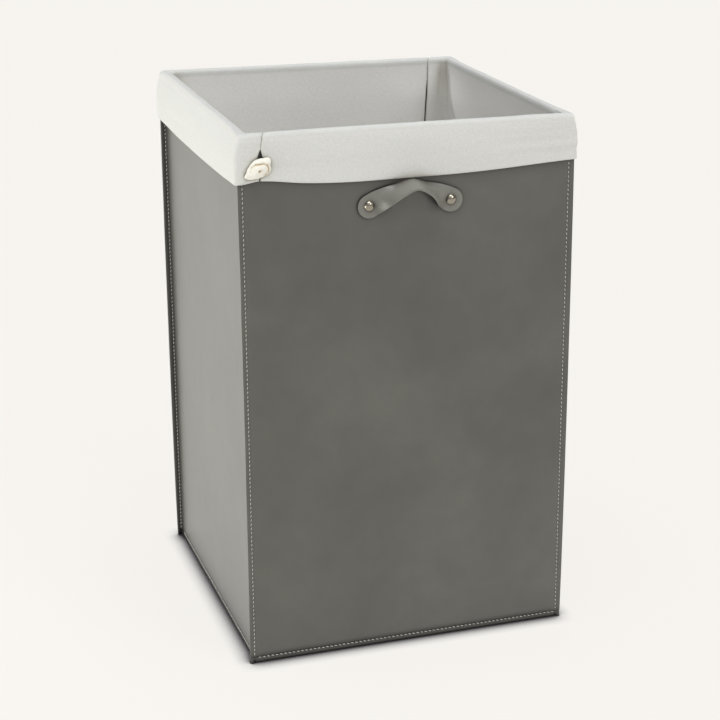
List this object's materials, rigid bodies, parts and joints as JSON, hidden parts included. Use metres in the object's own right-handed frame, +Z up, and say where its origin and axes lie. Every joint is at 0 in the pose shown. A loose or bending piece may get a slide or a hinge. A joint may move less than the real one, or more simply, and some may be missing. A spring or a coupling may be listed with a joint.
{
  "type": "open-topped laundry hamper",
  "caption": "Tall square laundry hamper of stiffened leather panels with outward stitched seams, riveted strap handles and a lift-out cotton liner cuffed over the rim.",
  "frame": {"origin": "middle of the base, on the surface the hamper stands on", "axes": "+Z up; +X along the front wall, to the right as seen from the front; +Y from the front wall to the back wall"},
  "size_m": [0.3878, 0.4444, 0.61],
  "materials": {
    "leather": "smooth grey coated leather, faintly mottled, satin",
    "strap_leather": "smooth grey leather with cut edges, satin",
    "board": "raw greyboard",
    "lining_cloth": "plain woven lining, matt",
    "nickel": "polished nickel plate",
    "liner_cotton": "heathered plain-weave cotton canvas, matt",
    "elastic_tape": "soft woven elastic tape, matt"
  },
  "bodies": {
    "shell": {"front_cover": "leather", "back_cover": "leather", "left_cover": "leather", "right_cover": "leather", "base_cover": "leather", "front_board": "board", "back_board": "board", "left_board": "board", "right_board": "board", "base_board": "board", "front_lining": "lining_cloth", "back_lining": "lining_cloth", "left_lining": "lining_cloth", "right_lining": "lining_cloth", "front_handle_strap": "strap_leather", "rear_handle_strap": "strap_leather", "front_rivet_caps": "nickel", "rear_rivet_caps": "nickel", "front_rivet_posts": "nickel", "rear_rivet_posts": "nickel", "front_rivet_washers": "nickel", "rear_rivet_washers": "nickel"},
    "base_insert": {"insert_board": "board", "insert_cover": "lining_cloth"},
    "liner": {"liner_front_right": "liner_cotton", "liner_back_left": "liner_cotton", "liner_bottom": "liner_cotton", "hem_elastic": "elastic_tape", "elastic_knot": "elastic_tape"}
  },
  "joints": [
    {"name": "insert_lift", "type": "slide", "parent": "shell", "child": "base_insert", "axis": [0, 0, 1], "range_m": [0, 0.62]},
    {"name": "liner_lift", "type": "slide", "parent": "base_insert", "child": "liner", "axis": [0, 0, 1], "range_m": [0, 0.62]}
  ]
}
